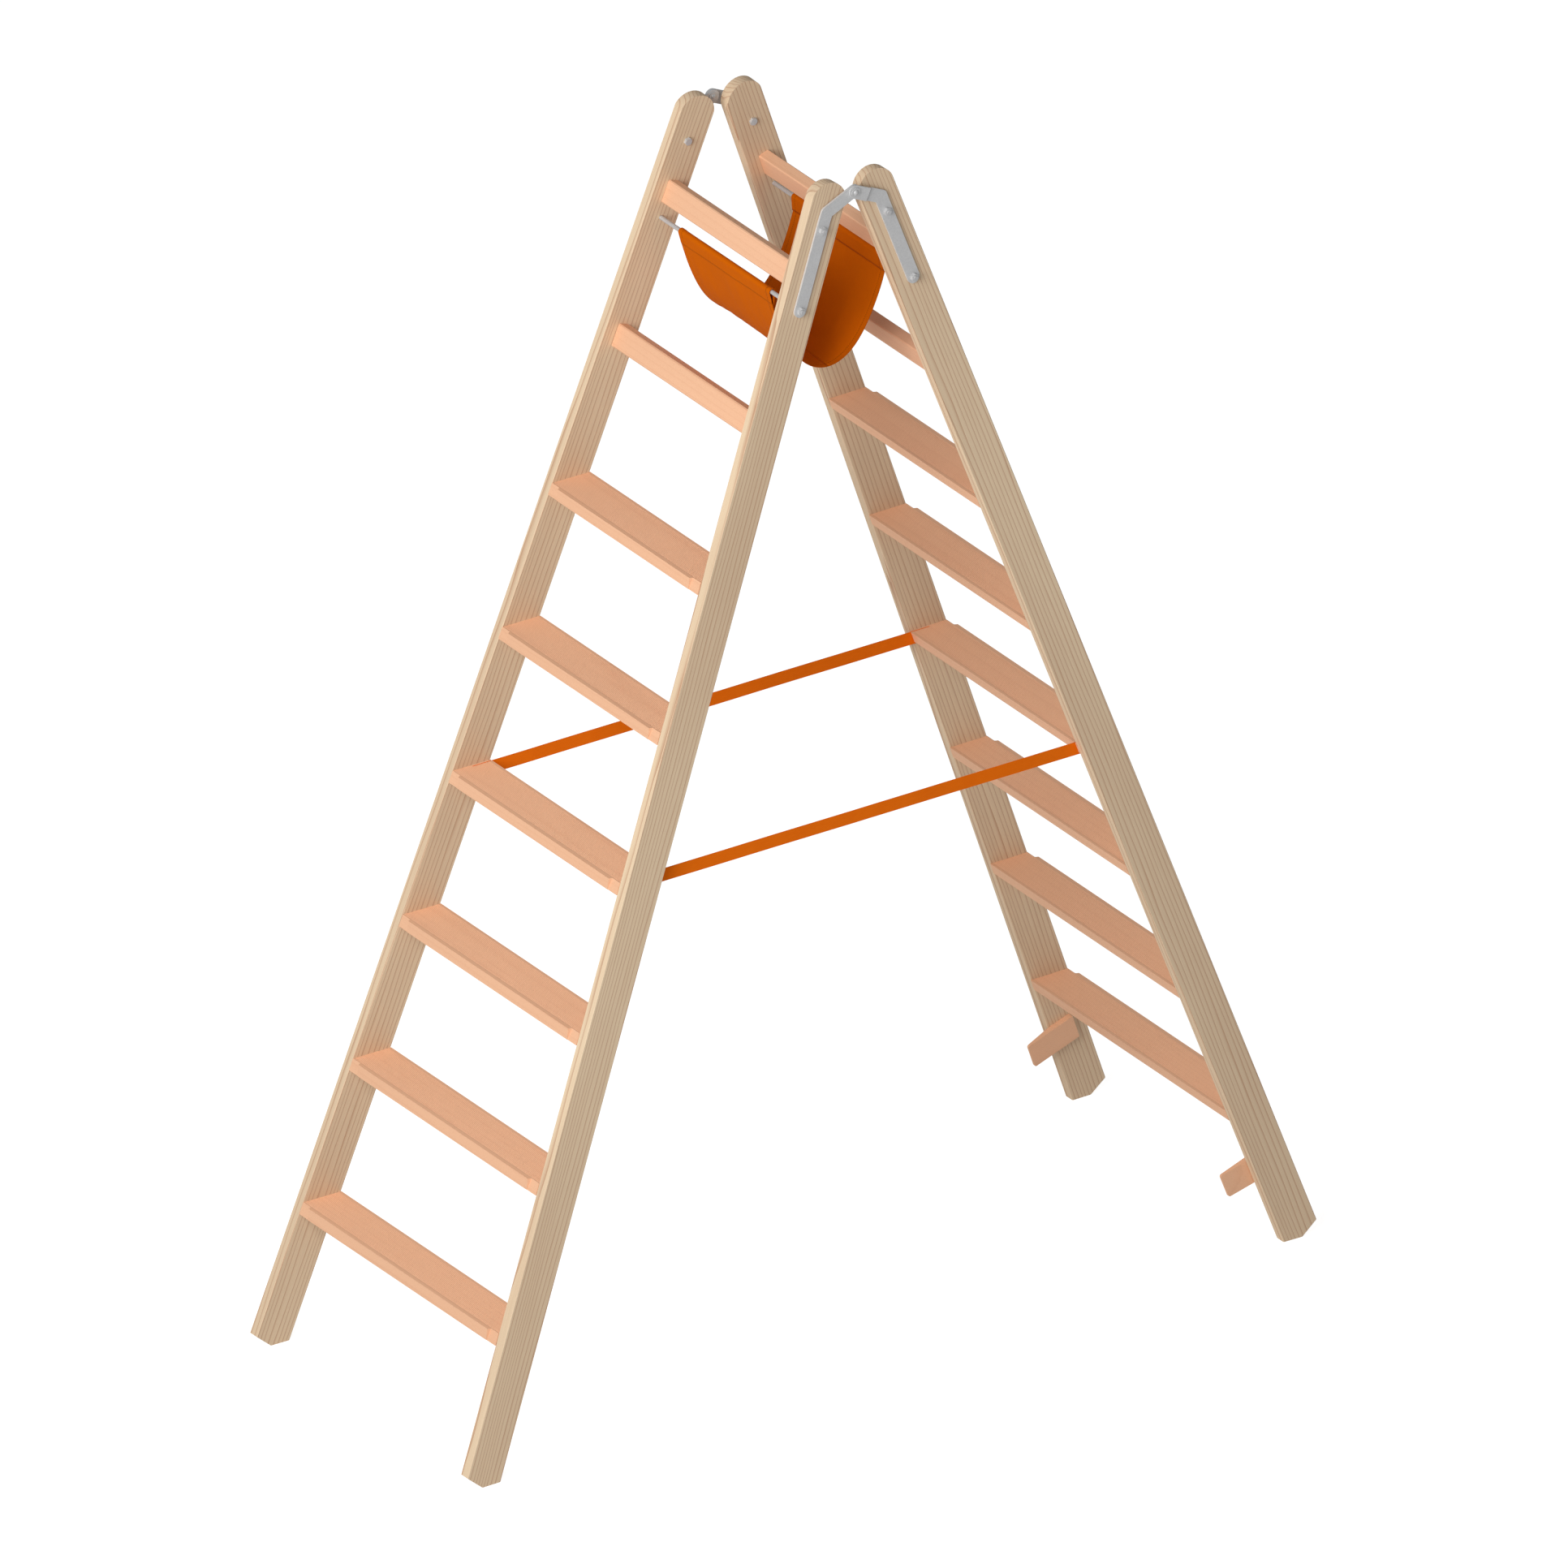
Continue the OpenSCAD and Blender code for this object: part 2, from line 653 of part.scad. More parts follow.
module right_guide_block() beech() to_rear() difference() { block(); dowel_holes(); }
module left_guide_block() to_left() right_guide_block();
module guide_block_dowels() beech() to_rear() both_sides()
    at_dowels() pin_x(dowel_radius, -dowel_seat, dowel_bite, 0, 0);

// ---- nodes ----

front_left_stile();
front_right_stile();
front_tread_1();
front_tread_2();
front_tread_3();
front_tread_4();
front_tread_5();
front_tread_6();
front_lower_rung();
front_upper_rung();
front_left_hinge_plate();
front_right_hinge_plate();
front_hinge_bolts();
front_hinge_nuts();
front_tie_rod();
front_tie_rod_nuts();
front_strap_pins();
rear_left_stile();
rear_right_stile();
rear_tread_1();
rear_tread_2();
rear_tread_3();
rear_tread_4();
rear_tread_5();
rear_tread_6();
rear_lower_rung();
rear_upper_rung();
rear_left_hinge_plate();
rear_right_hinge_plate();
rear_hinge_bolts();
rear_hinge_nuts();
rear_tie_rod();
rear_tie_rod_nuts();
rear_strap_pins();
left_guide_block();
right_guide_block();
guide_block_dowels();
left_pivot_rivet();
right_pivot_rivet();
bag_front_panel();
bag_rear_panel();
left_strap_front_half();
right_strap_front_half();
left_strap_rear_half();
right_strap_rear_half();
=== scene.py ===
import math

import bmesh
import bpy
from mathutils import Matrix, Vector
from mathutils import noise


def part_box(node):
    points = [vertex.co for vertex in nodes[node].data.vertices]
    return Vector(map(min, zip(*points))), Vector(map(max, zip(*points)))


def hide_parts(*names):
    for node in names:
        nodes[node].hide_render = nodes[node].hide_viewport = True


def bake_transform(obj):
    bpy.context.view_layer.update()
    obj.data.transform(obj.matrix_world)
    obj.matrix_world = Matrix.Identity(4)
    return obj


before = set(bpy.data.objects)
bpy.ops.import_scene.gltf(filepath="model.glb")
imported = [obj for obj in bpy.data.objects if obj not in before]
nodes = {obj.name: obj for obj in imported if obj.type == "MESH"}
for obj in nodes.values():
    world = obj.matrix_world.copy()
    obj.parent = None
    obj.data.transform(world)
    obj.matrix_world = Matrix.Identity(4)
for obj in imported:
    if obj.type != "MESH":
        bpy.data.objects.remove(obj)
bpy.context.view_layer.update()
bpy.context.scene.view_settings.view_transform = "Standard"

# ---------------------------------------------------------------- sizes taken from the frame

LEAN = math.radians(20)
FLARE = math.radians(3)

rod_low, rod_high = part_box("front_tie_rod")
ROD_Y = (rod_low.y + rod_high.y) / 2
ROD_Z = (rod_low.z + rod_high.z) / 2

# the frame's panel is 2 mm thick, and the cloth runs down its middle
PANEL_HALF_THICK = 0.001
bag_low, bag_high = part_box("bag_front_panel")
BAG_HALF = bag_high.x
BAG_CLOTH_THICK = 0.0014
SLEEVE_R = ROD_Y - bag_low.y - PANEL_HALF_THICK
BAG_DEPTH = ROD_Z - bag_low.z - PANEL_HALF_THICK

strap_low, strap_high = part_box("right_strap_front_half")
STRAP_X = (strap_low.x + strap_high.x) / 2
STRAP_Z = (strap_low.z + strap_high.z) / 2
STRAP_WIDTH = strap_high.z - strap_low.z
STRAP_THICK = strap_high.x - strap_low.x


def add_object(name, data):
    """An object at the origin, linked to the scene."""
    thing = bpy.data.objects.new(name, data)
    bpy.context.scene.collection.objects.link(thing)
    return thing


def thicken(sheet, label, thickness):
    """Gives a sheet its wall, half to each side."""
    wall = sheet.modifiers.new(label, "SOLIDIFY")
    wall.thickness = thickness
    wall.offset = 0.0


# ---------------------------------------------------------------- shader building blocks

def new_group(name, inputs, outputs):
    """An empty shader node group with named inputs (name, kind, default) and outputs (name, kind)."""
    group = bpy.data.node_groups.new(name, "ShaderNodeTree")
    for label, kind, value in inputs:
        socket = group.interface.new_socket(label, in_out="INPUT", socket_type=kind)
        if value is not None:
            socket.default_value = value
    for label, kind in outputs:
        group.interface.new_socket(label, in_out="OUTPUT", socket_type=kind)
    return group, group.nodes.new("NodeGroupInput"), group.nodes.new("NodeGroupOutput")


class Wiring:
    """Adds nodes to a tree and links them, so that a material reads from top to bottom."""

    def __init__(self, tree):
        self.tree = tree

    def add(self, kind, **settings):
        node = self.tree.nodes.new(kind)
        for key, value in settings.items():
            setattr(node, key, value)
        return node

    def feed(self, socket, value):
        if isinstance(value, bpy.types.NodeSocket):
            self.tree.links.new(value, socket)
        elif value is not None:
            socket.default_value = value

    def math(self, operation, a, b=None, c=None, clamp=False):
        node = self.add("ShaderNodeMath", operation=operation, use_clamp=clamp)
        for socket, value in zip(node.inputs, (a, b, c)):
            self.feed(socket, value)
        return node.outputs[0]

    def split(self, vector):
        node = self.add("ShaderNodeSeparateXYZ")
        self.feed(node.inputs[0], vector)
        return node.outputs

    def join(self, x, y, z):
        node = self.add("ShaderNodeCombineXYZ")
        for socket, value in zip(node.inputs, (x, y, z)):
            self.feed(socket, value)
        return node.outputs[0]

    def stretch(self, vector, scale, turn=(0, 0, 0), move=(0, 0, 0), kind="POINT"):
        node = self.add("ShaderNodeMapping", vector_type=kind)
        self.feed(node.inputs["Vector"], vector)
        node.inputs["Location"].default_value = move
        node.inputs["Rotation"].default_value = turn
        node.inputs["Scale"].default_value = scale
        return node.outputs[0]

    def noise(self, vector, scale, detail=2.0, rough=0.5, distortion=0.0):
        node = self.add("ShaderNodeTexNoise")
        self.feed(node.inputs["Vector"], vector)
        self.feed(node.inputs["Scale"], scale)
        node.inputs["Detail"].default_value = detail
        node.inputs["Roughness"].default_value = rough
        node.inputs["Distortion"].default_value = distortion
        return node.outputs["Fac"]

    def span(self, value, low, high, to_low=0.0, to_high=1.0):
        node = self.add("ShaderNodeMapRange")
        for label, item in (("Value", value), ("From Min", low), ("From Max", high),
                            ("To Min", to_low), ("To Max", to_high)):
            self.feed(node.inputs[label], item)
        return node.outputs[0]

    def blend(self, share, first, second, how="MIX"):
        node = self.add("ShaderNodeMix", data_type="RGBA", blend_type=how)
        self.feed(node.inputs["Factor"], share)
        self.feed(node.inputs["A"], first)
        self.feed(node.inputs["B"], second)
        return node.outputs["Result"]


def rgb(r, g, b):
    """A colour given as screen values from 0 to 255, as the linear numbers the shader takes."""
    def linear(v):
        v /= 255
        return v / 12.92 if v <= 0.04045 else ((v + 0.055) / 1.055) ** 2.4
    return (linear(r), linear(g), linear(b), 1.0)


# the tree's heart beside the board, in metres
PITH = (0.045, 0.02)


def make_timber_grain():
    """Straight softwood or beech grain running along the vector's Z.
    Streaks are the yearly rings cut lengthwise, Pores the short dark flecks."""
    group, given, result = new_group("timber_grain",
        [("Vector", "NodeSocketVector", None), ("Ring spacing", "NodeSocketFloat", 0.006),
         ("Wander", "NodeSocketFloat", 0.5), ("Fleck length", "NodeSocketFloat", 0.003)],
        [("Streaks", "NodeSocketFloat"), ("Shade", "NodeSocketFloat"),
         ("Pores", "NodeSocketFloat"), ("Height", "NodeSocketFloat")])
    w = Wiring(group)
    vector = given.outputs["Vector"]
    slow = w.stretch(vector, (1, 1, 0.06))
    drift = w.noise(slow, 14.0, detail=3.0)
    x, y, _ = w.split(slow)
    # rings seen on quarter-sawn and flat faces alike: distance from a far pith, bent by the drift
    pith = w.join(w.math("ADD", x, PITH[0]), w.math("ADD", y, PITH[1]), 0.0)
    length = w.add("ShaderNodeVectorMath", operation="LENGTH")
    w.feed(length.inputs[0], pith)
    rings = w.math("DIVIDE", length.outputs["Value"], given.outputs["Ring spacing"])
    bend = w.math("MULTIPLY", drift, w.math("MULTIPLY", given.outputs["Wander"], 6.0))
    rings = w.math("ADD", rings, bend)
    wave = w.math("FRACT", rings)
    late = w.span(wave, 0.55, 1.0)
    late = w.math("POWER", late, 2.2)
    fine = w.noise(w.stretch(vector, (1, 1, 0.012)), 900.0, detail=2.0)
    streaks = w.math("ADD", w.math("MULTIPLY", late, 0.72), w.math("MULTIPLY", fine, 0.42), clamp=True)
    shade = w.noise(w.stretch(vector, (1, 1, 0.15)), 9.0, detail=2.0)
    ratio = w.math("DIVIDE", 0.0005, given.outputs["Fleck length"])
    px, py, pz = w.split(vector)
    flecks = w.noise(w.join(px, py, w.math("MULTIPLY", pz, ratio)), 1700.0, detail=1.0)
    pores = w.span(flecks, 0.62, 0.74)
    height = w.math("SUBTRACT", w.math("MULTIPLY", fine, 0.5), w.math("MULTIPLY", pores, 0.6))
    w.feed(result.inputs["Streaks"], streaks)
    w.feed(result.inputs["Shade"], shade)
    w.feed(result.inputs["Pores"], pores)
    w.feed(result.inputs["Height"], height)
    return group


def make_weave():
    """Plain weave on a UV map in metres: Thread is the crown of the nearest thread, Tone its uneven dye."""
    group, given, result = new_group("plain_weave",
        [("Vector", "NodeSocketVector", None), ("Threads per metre", "NodeSocketFloat", 1200.0)],
        [("Thread", "NodeSocketFloat"), ("Tone", "NodeSocketFloat")])
    w = Wiring(group)
    u, v, _ = w.split(given.outputs["Vector"])
    pitch = given.outputs["Threads per metre"]
    a = w.math("SINE", w.math("MULTIPLY", w.math("MULTIPLY", u, pitch), math.pi))
    b = w.math("SINE", w.math("MULTIPLY", w.math("MULTIPLY", v, pitch), math.pi))
    crown = w.math("MULTIPLY", a, b)
    w.feed(result.inputs["Thread"], w.span(crown, -1.0, 1.0))
    streak = w.noise(w.stretch(given.outputs["Vector"], (1, 0.08, 1)), 700.0, detail=2.0)
    broad = w.noise(given.outputs["Vector"], 16.0, detail=3.0)
    tone = w.math("ADD", w.math("MULTIPLY", streak, 0.5), w.math("MULTIPLY", broad, 0.5))
    w.feed(result.inputs["Tone"], tone)
    return group


TIMBER_GRAIN = make_timber_grain()
PLAIN_WEAVE = make_weave()


def start_material(name):
    material = bpy.data.materials.new(name)
    material.use_nodes = True
    tree = material.node_tree
    tree.nodes.clear()
    w = Wiring(tree)
    shader = w.add("ShaderNodeBsdfPrincipled")
    end = w.add("ShaderNodeOutputMaterial")
    tree.links.new(shader.outputs[0], end.inputs[0])
    return material, w, shader


def use_group(w, group, **values):
    node = w.add("ShaderNodeGroup")
    node.node_tree = group
    for label, value in values.items():
        w.feed(node.inputs[label.replace("_", " ")], value)
    return node.outputs


def bump(w, shader, height, strength, distance):
    node = w.add("ShaderNodeBump")
    node.inputs["Strength"].default_value = strength
    node.inputs["Distance"].default_value = distance
    w.feed(node.inputs["Height"], height)
    w.feed(shader.inputs["Normal"], node.outputs[0])


# how far the slow shade pulls a board towards its dark tone, and how dark that tone is
SHADE_SHARE = 0.22
SHADE_DEPTH = 0.94


def timber(name, light, dark, fleck, turn, shift, ring, wander, rough, along="Z", fleck_share=0.2,
           fleck_length=0.003):
    """Planed timber whose grain runs along the board: turn is the board's own lie in the row frame."""
    material, w, shader = start_material(name)
    place = w.add("ShaderNodeTexCoord").outputs["Object"]
    board = w.stretch(place, (1, 1, 1), turn=turn, kind="TEXTURE")
    board = w.stretch(board, (1, 1, 1), move=shift)
    if along == "X":
        x, y, z = w.split(board)
        board = w.join(y, z, x)
    grain = use_group(w, TIMBER_GRAIN, Vector=board, Ring_spacing=ring, Wander=wander,
                      Fleck_length=fleck_length)
    colour = w.blend(grain["Streaks"], rgb(*light), rgb(*dark))
    tint = w.span(grain["Shade"], 0.3, 0.7, 0.0, SHADE_SHARE)
    colour = w.blend(tint, colour, rgb(*[v * SHADE_DEPTH for v in dark]))
    colour = w.blend(w.math("MULTIPLY", grain["Pores"], fleck_share), colour, rgb(*fleck))
    w.feed(shader.inputs["Base Color"], colour)
    w.feed(shader.inputs["Roughness"], w.span(grain["Streaks"], 0.0, 1.0, rough + 0.06, rough - 0.05))
    shader.inputs["Specular IOR Level"].default_value = 0.3
    bump(w, shader, grain["Height"], 0.25, 0.0002)
    return material


def board_turn(side, edge):
    """Lie of a stile: side -1 front, +1 rear frame; edge -1 left, +1 right stile."""
    lie = Matrix.Rotation(side * LEAN, 3, "X") @ Matrix.Rotation(-edge * FLARE, 3, "Y")
    return tuple(lie.to_euler("XYZ"))


def dress(node, material):
    """Gives a CAD node its finish."""
    mesh = nodes[node].data
    mesh.materials.clear()
    mesh.materials.append(material)


# ---------------------------------------------------------------- timber

SPRUCE = ((246, 224, 190), (192, 145, 112), (170, 122, 90))
BEECH = ((247, 195, 157), (240, 185, 147), (208, 149, 111))
BEECH_LOOK = {"rough": 0.55, "fleck_share": 0.45, "fleck_length": 0.0035}

for side, side_name in ((-1, "front"), (1, "rear")):
    for edge, edge_name in ((-1, "left"), (1, "right")):
        shift = (0.13 * side + 0.07 * edge, 0.02 * edge + 0.011 * side, 0.9 * side + 0.4 * edge)
        dress(f"{side_name}_{edge_name}_stile",
              timber(f"spruce_{side_name}_{edge_name}", *SPRUCE, turn=board_turn(side, edge), shift=shift,
                     ring=0.0075, wander=0.75, rough=0.62))
    for k in range(1, 7):
        dress(f"{side_name}_tread_{k}",
              timber(f"beech_{side_name}_tread_{k}", *BEECH, turn=(0, 0, 0),
                     shift=(0.37 * k + side, 0.021 * k, 0.013 * k), ring=0.011, wander=0.5,
                     along="X", **BEECH_LOOK))
    for k, which in ((1, "lower"), (2, "upper")):
        dress(f"{side_name}_{which}_rung",
              timber(f"beech_{side_name}_{which}_rung", *BEECH, turn=(side * LEAN, 0, 0),
                     shift=(0.61 * k + side, 0.017 * k, 0.029 * k), ring=0.012, wander=0.5,
                     along="X", **BEECH_LOOK))
for edge, edge_name in ((-1, "left"), (1, "right")):
    dress(f"{edge_name}_guide_block",
          timber(f"beech_{edge_name}_guide_block", *BEECH, turn=(LEAN + math.pi / 2, 0, 0),
                 shift=(0.2 * edge, 0.05, 0.3), ring=0.010, wander=0.4, **BEECH_LOOK))

# ---------------------------------------------------------------- zinc-plated steel

SPANGLES_PER_METRE = 260.0
ZINC_METALLIC = 0.22


def zinc_plate(name, tone, rough):
    """Plated steel: a soft spangle and faint rolling marks."""
    material, w, shader = start_material(name)
    place = w.add("ShaderNodeTexCoord").outputs["Object"]
    cells = w.add("ShaderNodeTexVoronoi")
    w.feed(cells.inputs["Vector"], place)
    cells.inputs["Scale"].default_value = SPANGLES_PER_METRE
    cloud = w.noise(place, 45.0, detail=3.0)
    marks = w.noise(w.stretch(place, (1, 0.05, 1)), 1500.0, detail=2.0)
    spangle = w.math("ADD", w.math("MULTIPLY", cells.outputs["Distance"], 0.5),
                     w.math("MULTIPLY", cloud, 0.5))
    dull, bright = rgb(tone - 7, tone - 7, tone - 6), rgb(tone + 5, tone + 5, tone + 5)
    colour = w.blend(w.span(spangle, 0.2, 0.75), dull, bright)
    w.feed(shader.inputs["Base Color"], colour)
    shader.inputs["Metallic"].default_value = ZINC_METALLIC
    w.feed(shader.inputs["Roughness"], w.span(cloud, 0.3, 0.7, rough - 0.06, rough + 0.1))
    bump(w, shader, marks, 0.12, 0.0001)
    return material


PLATE = zinc_plate("zinc_plate", 213, 0.5)
FASTENER = zinc_plate("zinc_fastener", 206, 0.36)
ROD = zinc_plate("zinc_rod", 200, 0.36)
for name in nodes:
    if "hinge_plate" in name:
        dress(name, PLATE)
    elif name.endswith("tie_rod"):
        dress(name, ROD)
    elif any(word in name for word in ("bolts", "nuts", "rivet", "pins")):
        dress(name, FASTENER)

# ---------------------------------------------------------------- cloth

STITCH_HALF_WIDTH = 0.0009
STITCHES_PER_METRE = 250.0
STITCH_SHARE = 0.72


def stitch_line(w, off, along):
    """Mask of a dashed seam: off is the distance from its line, along runs with it."""
    line = w.math("LESS_THAN", off, STITCH_HALF_WIDTH)
    step = w.math("FRACT", w.math("MULTIPLY", along, STITCHES_PER_METRE))
    return w.math("MULTIPLY", line, w.math("LESS_THAN", step, STITCH_SHARE))


def cloth(name, colour, dark_dye_and_hollow_shade, threads, stitch_rows=(), edge_rows=(), roughness=0.85):
    """Woven cloth on its own UV map in metres. stitch_rows are places along V that
    carry a seam, edge_rows distances from the middle along U."""
    material, w, shader = start_material(name)
    flat = w.add("ShaderNodeUVMap", uv_map="cloth").outputs[0]
    weave = use_group(w, PLAIN_WEAVE, Vector=flat, Threads_per_metre=threads)
    # darker in the hollows between thread crowns as painted shade, mixed with the dye's real unevenness
    tone = w.math("ADD", w.math("MULTIPLY", weave["Thread"], 0.35), w.math("MULTIPLY", weave["Tone"], 0.65))
    shade = w.blend(w.span(tone, 0.25, 0.75), rgb(*dark_dye_and_hollow_shade), rgb(*colour))
    u, v, _ = w.split(flat)
    seam = None
    rows = [(v, row, u) for row in stitch_rows] + [(None, row, v) for row in edge_rows]
    for across, row, along in rows:
        across = w.math("ABSOLUTE", u) if across is None else across
        off = w.math("ABSOLUTE", w.math("SUBTRACT", across, row))
        here = stitch_line(w, off, along)
        seam = here if seam is None else w.math("MAXIMUM", seam, here)
    height = weave["Thread"]
    if seam is not None:
        shade = w.blend(w.math("MULTIPLY", seam, 0.55), shade, rgb(*[c * 0.62 for c in colour]))
        height = w.math("SUBTRACT", height, w.math("MULTIPLY", seam, 1.5))
    w.feed(shader.inputs["Base Color"], shade)
    shader.inputs["Roughness"].default_value = roughness
    shader.inputs["Specular IOR Level"].default_value = 0.04
    shader.inputs["Sheen Weight"].default_value = 0.008
    shader.inputs["Sheen Roughness"].default_value = 0.5
    bump(w, shader, height, 0.35, 0.0004)
    return material


def hanging_curve(half_span, depth, count):
    """Points (distance from the middle, height over the bottom) of a hanging cloth, from its edge down."""
    low, high = half_span / 8, half_span * 4
    for _ in range(50):
        slack = (low + high) / 2
        if slack * (math.cosh(half_span / slack) - 1) > depth:
            low = slack
        else:
            high = slack
    full = slack * math.sinh(half_span / slack)
    points = []
    for i in range(count + 1):
        out = slack * math.asinh(full * (1 - i / count) / slack)
        points.append((out, slack * (math.cosh(out / slack) - 1)))
    return points


HEM_WIDTH = 0.022
# the turned-in hem lies this far inside the outer cloth
HEM_STAND_OFF = 0.0019
FALL_STEPS, HEM_STEPS, SLEEVE_STEPS = 44, 5, 16


def bag_path():
    """Run of the front panel's cloth in (y, z): hem inside the bag, sleeve over the rod, hanging curve."""
    fall = hanging_curve(-ROD_Y + SLEEVE_R, BAG_DEPTH, FALL_STEPS)
    sink = ROD_Z - BAG_DEPTH
    hem_foot = next((-y, sink + z) for y, z in fall if z < BAG_DEPTH - HEM_WIDTH)
    hem_foot = (hem_foot[0] + HEM_STAND_OFF, hem_foot[1])
    hem_top = (ROD_Y + SLEEVE_R, ROD_Z - 0.001)
    points = [tuple(a + (b - a) * i / HEM_STEPS for a, b in zip(hem_foot, hem_top))
              for i in range(HEM_STEPS)]
    for i in range(SLEEVE_STEPS + 1):
        turn = math.radians(180 * i / SLEEVE_STEPS)
        points.append((ROD_Y + SLEEVE_R * math.cos(turn), ROD_Z + SLEEVE_R * math.sin(turn)))
    fall_start = len(points)
    points += [(-y, sink + z) for y, z in fall[1:]]
    return points, fall_start


# distances from the side edge at which the folded side hem turns
SIDE_HEM_FOLDS = (0.0, 0.001, 0.006, 0.0115, 0.0125)
SIDE_HEM_WIDTH = 0.012
MIDDLE_COLUMNS = 46


def bag_columns():
    """Places across the bag, close together at the folded side hems."""
    half = [BAG_HALF - fold for fold in SIDE_HEM_FOLDS]
    inner = half[-1]
    middle = [inner * (1 - 2 * i / MIDDLE_COLUMNS) for i in range(1, MIDDLE_COLUMNS)]
    return [-x for x in half] + [-x for x in middle] + half[::-1]


# how far the cloth sways, creases and stands up at its hems
BAG_SWAY = 0.0030
BAG_CREASE = 0.0007
HEM_RELIEF = 0.0004


def make_bag_panel(name, mirrored):
    """One half of the sling: a sleeve round the rod, folded side hems and a soft slack."""
    path, fall_start = bag_path()
    columns = bag_columns()
    lengths = [0.0]
    for (y0, z0), (y1, z1) in zip(path, path[1:]):
        lengths.append(lengths[-1] + math.hypot(y1 - y0, z1 - z0))
    outward = []
    for i in range(len(path)):
        (y0, z0), (y1, z1) = path[max(0, i - 1)], path[min(len(path) - 1, i + 1)]
        run = math.hypot(y1 - y0, z1 - z0)
        outward.append(Vector((0, (z1 - z0) / run, -(y1 - y0) / run)))
    shape = bmesh.new()
    bmesh.ops.create_grid(shape, x_segments=len(columns) - 1, y_segments=len(path) - 1, size=1.0)
    uv = shape.loops.layers.uv.new("cloth")
    for vert in shape.verts:
        column = round((vert.co.x + 1) / 2 * (len(columns) - 1))
        row = round((vert.co.y + 1) / 2 * (len(path) - 1))
        x, (y, z) = columns[column], path[row]
        for loop in vert.link_loops:
            loop[uv].uv = (x, lengths[row])
        vert.co = Vector((x, y, z))
        push = 0.0
        if row > fall_start + 2:
            below = lengths[row] - lengths[fall_start]
            fade = min(1.0, below / 0.05) * min(1.0, (lengths[-1] - lengths[row]) / 0.04)
            push += noise.noise(Vector((x * 14, lengths[row] * 8, 3.0))) * BAG_SWAY * fade
            push += noise.noise(Vector((x * 60, lengths[row] * 5, 9.0))) * BAG_CREASE * fade
            if below < HEM_WIDTH - 0.001:
                push += HEM_RELIEF
        if abs(x) > BAG_HALF - SIDE_HEM_WIDTH:
            push += HEM_RELIEF
        vert.co += outward[row] * push
    if mirrored:
        bmesh.ops.scale(shape, vec=(1, -1, 1), verts=shape.verts)
        bmesh.ops.reverse_faces(shape, faces=shape.faces)
    mesh = bpy.data.meshes.new(name)
    shape.to_mesh(mesh)
    shape.free()
    for face in mesh.polygons:
        face.use_smooth = True
    panel = add_object(name, mesh)
    thicken(panel, "cloth thickness", BAG_CLOTH_THICK)
    mesh.materials.append(BAG_CLOTH)
    return panel, lengths[-1]


def sleeve_seam():
    """Distance along the cloth of the seam that closes the sleeve, on the outer side."""
    path, fall_start = bag_path()
    steps = zip(path[:fall_start], path[1:fall_start + 1])
    run = sum(math.hypot(b[0] - a[0], b[1] - a[1]) for a, b in steps)
    return run + HEM_WIDTH - 0.002


SEAM = sleeve_seam()
BAG_CLOTH = cloth("orange_bag_cloth", (211, 101, 0), (201, 94, 0), 900.0,
                  stitch_rows=(0.002, SEAM, SEAM - 0.0022), edge_rows=(BAG_HALF - 0.0105,))
bag_front, bag_length = make_bag_panel("tool_bag_front", False)
bag_rear, _ = make_bag_panel("tool_bag_rear", True)
for panel, side, sign in ((bag_front, "front", 1), (bag_rear, "rear", -1)):
    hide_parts(f"bag_{side}_panel")
    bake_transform(panel)

# ---------------------------------------------------------------- spread straps


# where the strap leaves the kerf, and the short stretch after it where a folded ladder's strap turns down;
# the band drawn here stays straight, with its places close together there
STRAP_LET_IN = 0.032
STRAP_TURN = 0.012
STRAP_SWAY = 0.0012
# the webbing is this much thinner than its place in the frame
KERF_PLAY = 0.0002


def strap_crosswise(length):
    """Places along the strap, close together just past where it leaves the kerf."""
    bend_start, bend_end = STRAP_LET_IN - 0.004, STRAP_LET_IN + STRAP_TURN + 0.004
    runs = ((0.0, bend_start, 6), (bend_start, bend_end, 30), (bend_end, length, 90))
    return [low + (high - low) * i / count for low, high, count in runs for i in range(count)] + [length]


def make_strap(name, side, edge):
    """Half of a webbing strap, from the kerf in the tread to the middle of the ladder."""
    low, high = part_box(name)
    # the two halves meet in the ladder's middle plane
    length = max(-low.y, high.y)
    crosswise = strap_crosswise(length)
    count = len(crosswise) - 1
    band = bmesh.new()
    bmesh.ops.create_grid(band, x_segments=count, y_segments=6, size=0.5)
    for vert in band.verts:
        vert.co.x = crosswise[round((vert.co.x + 0.5) * count)] / length - 0.5
    uv = band.loops.layers.uv.new("cloth")
    for face in band.faces:
        for loop in face.loops:
            loop[uv].uv = (loop.vert.co.y * STRAP_WIDTH, (loop.vert.co.x + 0.5) * length)
    start, way, seed = (low.y, 1, 1.0) if side == "front" else (high.y, -1, 2.0)
    for vert in band.verts:
        along = (vert.co.x + 0.5) * length
        y = start + way * along
        free = min(1.0, max(0.0, (along - 0.035) / 0.06)) * min(1.0, (length - along) / 0.03)
        sway = noise.noise(Vector((along * 5, edge * 3, seed))) * STRAP_SWAY * free
        vert.co = Vector((edge * STRAP_X + sway, y, STRAP_Z + vert.co.y * STRAP_WIDTH))
    if (side == "front") != (edge > 0):
        bmesh.ops.reverse_faces(band, faces=band.faces)
    mesh = bpy.data.meshes.new(name.replace("_half", ""))
    band.to_mesh(mesh)
    band.free()
    strap = add_object(mesh.name, mesh)
    thicken(strap, "webbing thickness", STRAP_THICK - KERF_PLAY)
    mesh.materials.append(STRAP_WEBBING)
    return strap, length


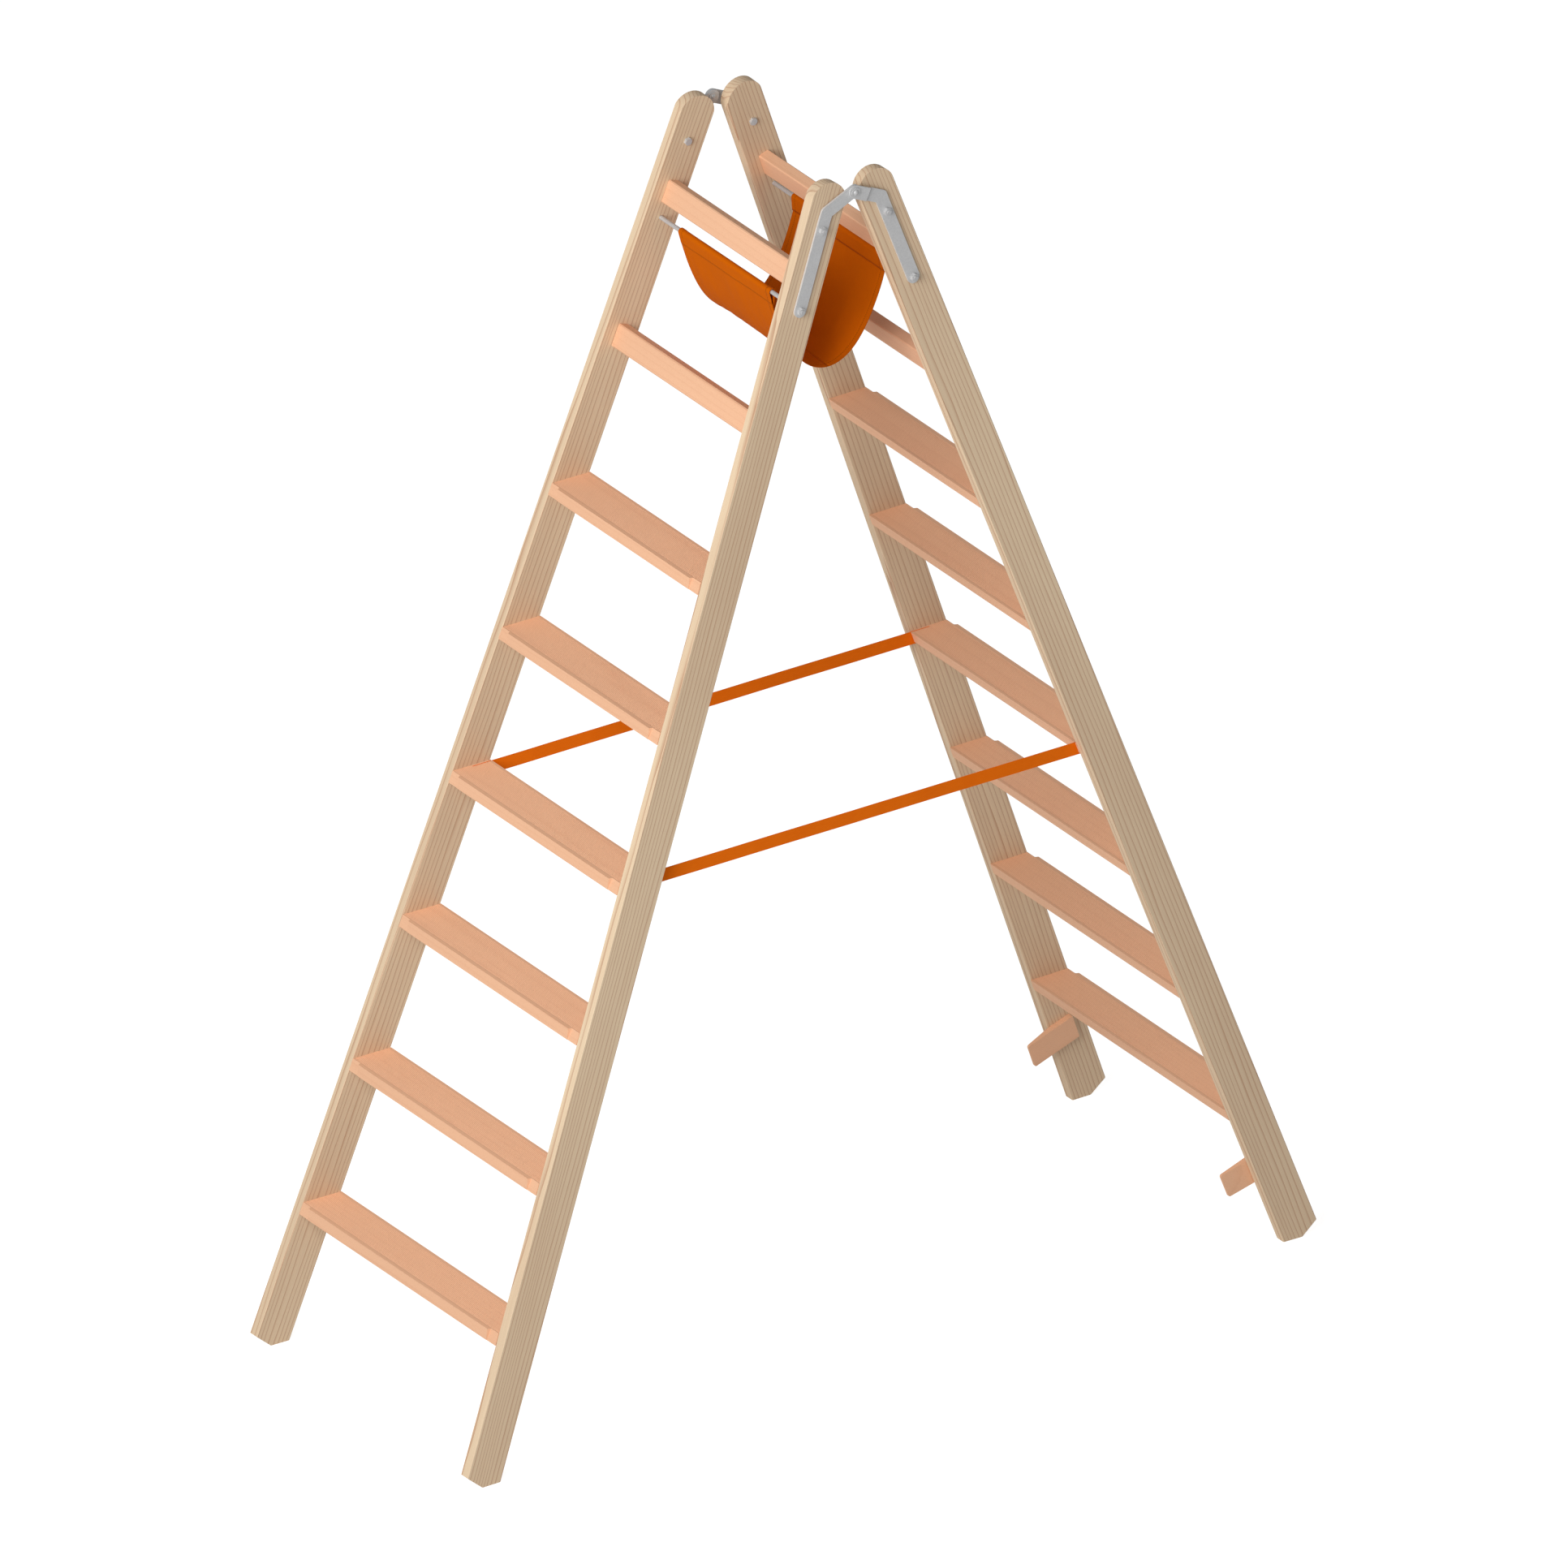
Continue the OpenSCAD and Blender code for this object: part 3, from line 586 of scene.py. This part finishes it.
STRAP_WEBBING = cloth("orange_strap_webbing", (255, 124, 14), (238, 107, 6), 700.0, roughness=0.75)
for side, sign in (("front", -1), ("rear", 1)):
    for edge_name, edge in (("left", -1), ("right", 1)):
        name = f"{edge_name}_strap_{side}"
        strap, length = make_strap(f"{name}_half", side, edge)
        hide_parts(f"{name}_half")
        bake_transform(strap)

# ---------------------------------------------------------------- floor, light and camera

# strength for the light that falls on the ladder, then for the eye
PAPER_GLOW = (0.2, 0.84)
BACKDROP_GLOW = (0.31, 1.0)

floor_mesh = bpy.data.meshes.new("studio_floor")
sweep = bmesh.new()
bmesh.ops.create_grid(sweep, x_segments=1, y_segments=1, size=14.0)
sweep.to_mesh(floor_mesh)
sweep.free()
floor = add_object("studio_floor", floor_mesh)
floor.location.z = -0.0005
paper, w, shader = start_material("pale_paper")
shader.inputs["Base Color"].default_value = (0.5, 0.5, 0.5, 1)
shader.inputs["Roughness"].default_value = 0.95
shader.inputs["Specular IOR Level"].default_value = 0.1
shader.inputs["Emission Color"].default_value = (1, 1, 1, 1)
# the paper glows a little more than it lights the ladder from below
seen = w.add("ShaderNodeLightPath").outputs["Is Camera Ray"]
w.feed(shader.inputs["Emission Strength"], w.span(seen, 0.0, 1.0, *PAPER_GLOW))
floor_mesh.materials.append(paper)

world = bpy.data.worlds.new("studio")
bpy.context.scene.world = world
world.use_nodes = True
backdrop = Wiring(world.node_tree)
sky = world.node_tree.nodes["Background"]
sky.inputs["Color"].default_value = (1, 1, 1, 1)
# plain white behind the ladder, a dimmer grey as fill light
backdrop_seen = backdrop.add("ShaderNodeLightPath").outputs["Is Camera Ray"]
backdrop.feed(sky.inputs["Strength"], backdrop.span(backdrop_seen, 0.0, 1.0, *BACKDROP_GLOW))


def soft_light(name, place, towards, size, power):
    lamp = bpy.data.lights.new(name, "AREA")
    lamp.shape = "DISK"
    lamp.size = size
    lamp.energy = power
    holder = add_object(name, lamp)
    holder.location = place
    holder.rotation_mode = "QUATERNION"
    holder.rotation_quaternion = (Vector(towards) - Vector(place)).to_track_quat("-Z", "Y")


soft_light("key_light", (2.65, -5.45, 4.5), (0, 0, 1.1), 4.6, 340)

AZIMUTH, ELEVATION = math.radians(55.98), math.radians(26.98)
FRAME_SIDE = 1932
PER_METRE = 700.0
# from the middle of the view to the middle of the ladder's footprint, right and down
FOOT_RIGHT, FOOT_DOWN = -1.0, 622.0
STAND_BACK = 8.0
back = Vector((math.sin(AZIMUTH) * math.cos(ELEVATION),
               -math.cos(AZIMUTH) * math.cos(ELEVATION), math.sin(ELEVATION)))
camera = bpy.data.cameras.new("studio_camera")
camera.type = "ORTHO"
camera.ortho_scale = FRAME_SIDE / PER_METRE
camera.clip_end = 60
stand = add_object("studio_camera", camera)
turn = (-back).to_track_quat("-Z", "Y")
right = turn @ Vector((1, 0, 0))
up = turn @ Vector((0, 1, 0))
aim = -right * (FOOT_RIGHT / PER_METRE) + up * (FOOT_DOWN / PER_METRE)
stand.rotation_mode = "QUATERNION"
stand.rotation_quaternion = turn
stand.location = aim + back * STAND_BACK
bpy.context.scene.camera = stand

bpy.context.view_layer.update()
